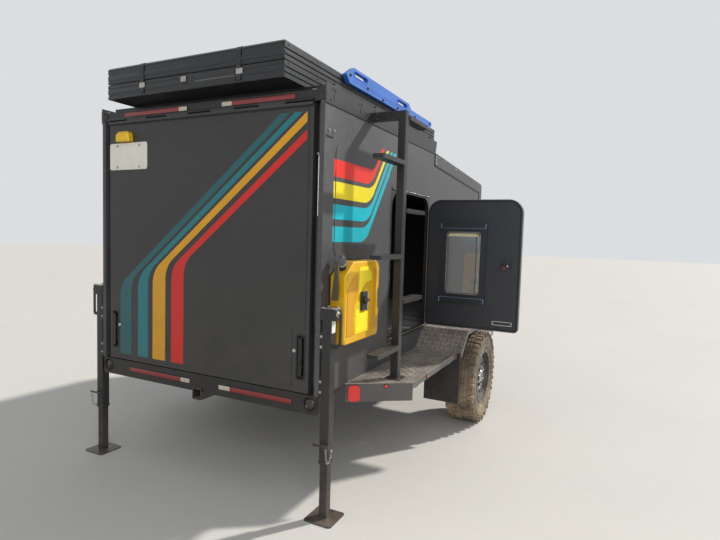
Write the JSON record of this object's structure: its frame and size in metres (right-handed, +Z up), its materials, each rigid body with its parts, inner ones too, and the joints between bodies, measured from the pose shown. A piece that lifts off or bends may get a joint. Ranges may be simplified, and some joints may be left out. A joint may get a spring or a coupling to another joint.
{
  "type": "squaredrop camper trailer",
  "caption": "Box-shaped off-road camper trailer with an open side door, rear hatch, roof rack and closed roof tent, side platforms, ladder, fuel can and corner jacks.",
  "frame": {"origin": "on the ground under the middle of the axle", "axes": "+X to the trailer's right side, +Y forward along the tongue, +Z up"},
  "size_m": [2.575, 4.281, 2.3087],
  "materials": {
    "frame_black": "satin",
    "coated_black": "textured matte",
    "coated_body": "textured matte",
    "door_skin": "textured matte",
    "lamp_red": "gloss",
    "lamp_yellow": "gloss",
    "floor_wood": "satin",
    "galley_wood": "satin",
    "mattress_cloth": "matte",
    "chrome_trim": "polished",
    "bright_steel": "polished",
    "zinc_steel": "satin",
    "tinted_glass": "gloss",
    "frame_plastic": "satin",
    "rim_paint": "satin",
    "tyre_rubber": "matte",
    "diamond_plate": "satin",
    "flap_rubber": "matte",
    "can_yellow": "satin",
    "tent_shell": "satin",
    "tent_cloth": "matte",
    "board_blue": "satin"
  },
  "bodies": {
    "trailer": {"chassis_frame": "frame_black", "coupler": "frame_black", "receiver": "frame_black", "rear_bumper": "coated_black", "bumper_lamps": "lamp_red", "tail_lamps": "lamp_red", "axle_beam": "frame_black", "leaf_springs": "frame_black", "floor": "floor_wood", "side_wall_r": "coated_body", "side_wall_l": "coated_body", "roof": "coated_body", "door_posts": "coated_black", "door_heads": "coated_black", "front_wall": "coated_body", "hatch_jamb": "coated_body", "galley": "galley_wood", "mattress": "mattress_cloth", "fenders": "diamond_plate", "mudflaps": "flap_rubber", "platforms": "diamond_plate", "jack_housings": "coated_black", "nose_jack": "coated_black", "ladder": "coated_black", "fuel_can": "can_yellow", "fuel_can_mount": "frame_plastic", "roof_rack": "coated_black", "tent_base": "tent_shell", "tent_bedding": "tent_cloth"},
    "wheel_r": {"rim_r": "rim_paint", "tyre_r": "tyre_rubber"},
    "wheel_l": {"rim_l": "rim_paint", "tyre_l": "tyre_rubber"},
    "hatch": {"hatch_panel": "coated_body", "hatch_latches": "chrome_trim", "plate_lamp": "lamp_yellow"},
    "gas_tube_r": {"strut_tube_r": "frame_black"},
    "gas_tube_l": {"strut_tube_l": "frame_black"},
    "gas_rod_r": {"strut_rod_r": "bright_steel"},
    "gas_rod_l": {"strut_rod_l": "bright_steel"},
    "door_right": {"door_r": "door_skin", "door_glass_r": "tinted_glass", "door_frame_r": "frame_plastic"},
    "door_left": {"door_l": "door_skin", "door_glass_l": "tinted_glass", "door_frame_l": "frame_plastic"},
    "leg_r": {"jack_leg_r": "zinc_steel"},
    "leg_l": {"jack_leg_l": "zinc_steel"},
    "leg_front": {"nose_jack_leg": "zinc_steel"},
    "lid": {"tent_lid": "tent_shell", "side_board": "board_blue"}
  },
  "joints": [
    {"name": "wheel_spin_r", "type": "hinge", "parent": "trailer", "child": "wheel_r", "pos_m": [1.038, 0, 0.338], "axis": [1, 0, 0], "continuous": true},
    {"name": "wheel_spin_l", "type": "hinge", "parent": "trailer", "child": "wheel_l", "pos_m": [-1.038, 0, 0.338], "axis": [1, 0, 0], "continuous": true},
    {"name": "hatch_hinge", "type": "hinge", "parent": "trailer", "child": "hatch", "pos_m": [0, -1.807, 1.998], "axis": [-1, 0, 0], "range_deg": [0, 85]},
    {"name": "gas_swing_r", "type": "hinge", "parent": "trailer", "child": "gas_tube_r", "pos_m": [0.718, -1.772, 0.915], "axis": [1, 0, 0], "range_deg": [0, 15.22]},
    {"name": "gas_slide_r", "type": "slide", "parent": "gas_tube_r", "child": "gas_rod_r", "axis": [0, 0, 1], "range_m": [0, 0.2289]},
    {"name": "gas_swing_l", "type": "hinge", "parent": "trailer", "child": "gas_tube_l", "pos_m": [-0.718, -1.772, 0.915], "axis": [1, 0, 0], "range_deg": [0, 15.22]},
    {"name": "gas_slide_l", "type": "slide", "parent": "gas_tube_l", "child": "gas_rod_l", "axis": [0, 0, 1], "range_m": [0, 0.2289]},
    {"name": "door_swing_r", "type": "hinge", "parent": "trailer", "child": "door_right", "pos_m": [0.771, -0.3215, 1.2], "axis": [0, 0, 1], "range_deg": [-90, 25]},
    {"name": "door_swing_l", "type": "hinge", "parent": "trailer", "child": "door_left", "pos_m": [-0.771, -0.3215, 1.2], "axis": [0, 0, -1], "range_deg": [0, 115]},
    {"name": "leg_slide_r", "type": "slide", "parent": "trailer", "child": "leg_r", "axis": [0, 0, 1], "range_m": [0, 0.255]},
    {"name": "leg_slide_l", "type": "slide", "parent": "trailer", "child": "leg_l", "axis": [0, 0, 1], "range_m": [0, 0.255]},
    {"name": "leg_slide_front", "type": "slide", "parent": "trailer", "child": "leg_front", "axis": [0, 0, 1], "range_m": [0, 0.29]},
    {"name": "tent_lid_hinge", "type": "hinge", "parent": "trailer", "child": "lid", "pos_m": [0, 0.238, 2.1655], "axis": [-1, 0, 0], "range_deg": [0, 30]}
  ],
  "couplings": [
    {"joint": "gas_swing_r", "follows": "hatch_hinge", "ratio": 0.17889},
    {"joint": "gas_slide_r", "follows": "hatch_hinge", "m_per_rad": 0.1542},
    {"joint": "gas_swing_l", "follows": "hatch_hinge", "ratio": 0.17889},
    {"joint": "gas_slide_l", "follows": "hatch_hinge", "m_per_rad": 0.1542}
  ]
}
